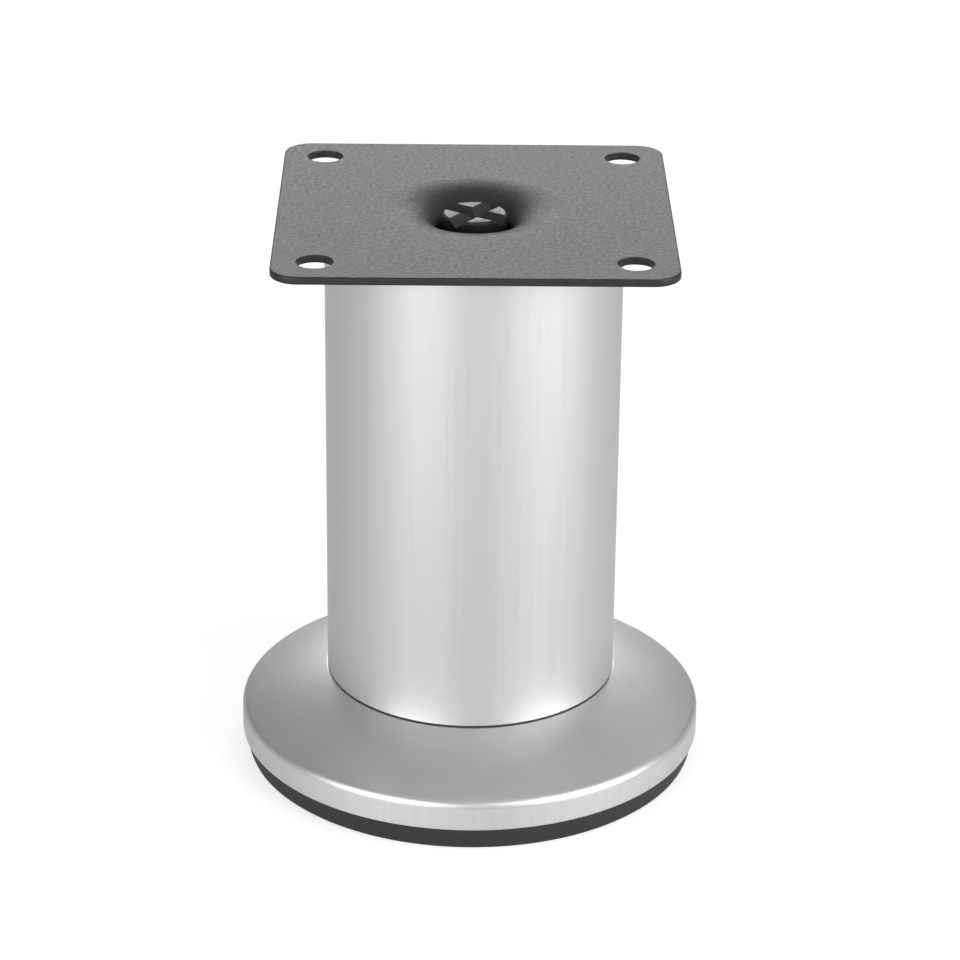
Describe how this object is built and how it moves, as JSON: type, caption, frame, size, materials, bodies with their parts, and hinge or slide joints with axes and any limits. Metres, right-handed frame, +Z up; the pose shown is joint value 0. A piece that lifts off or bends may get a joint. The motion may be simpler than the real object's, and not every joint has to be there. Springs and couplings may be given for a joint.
{
  "type": "furniture leg",
  "caption": "Height-adjustable round furniture leg with a square screw plate, a satin tube and a wide pressed foot on a black base that winds down on a cross-slotted spindle.",
  "frame": {"origin": "centre of the foot on the floor, with the foot wound right in", "axes": "+Z up along the spindle, +X and +Y along the sides of the mounting plate"},
  "size_m": [0.096, 0.096, 0.12],
  "materials": {
    "plate_coat": "black powder coat with a fine structure, on pressed steel",
    "tube_metal": "satin silver",
    "cover_metal": "satin silver, pressed sheet",
    "moulding": "black, fine grain",
    "steel": "plain zinc-plated",
    "black_steel": "blackened and oiled"
  },
  "bodies": {
    "leg": {"mounting_plate": "plate_coat", "leg_tube": "tube_metal", "top_plug": "moulding", "bottom_plug": "moulding", "spindle_nut": "steel"},
    "foot": {"foot_cover": "cover_metal", "foot_base": "moulding", "thrust_washer": "steel", "backing_washer": "steel"},
    "spindle": {"spindle": "black_steel", "retaining_ring": "black_steel"}
  },
  "joints": [
    {"name": "foot_travel", "type": "slide", "parent": "leg", "child": "foot", "axis": [0, 0, -1], "range_m": [0, 0.02]},
    {"name": "spindle_turn", "type": "hinge", "parent": "foot", "child": "spindle", "pos_m": [0, 0, 0.02], "axis": [0, 0, -1], "range_deg": [0, 3600]}
  ],
  "couplings": [
    {"joint": "spindle_turn", "follows": "foot_travel", "rad_per_m": 3141.6}
  ]
}
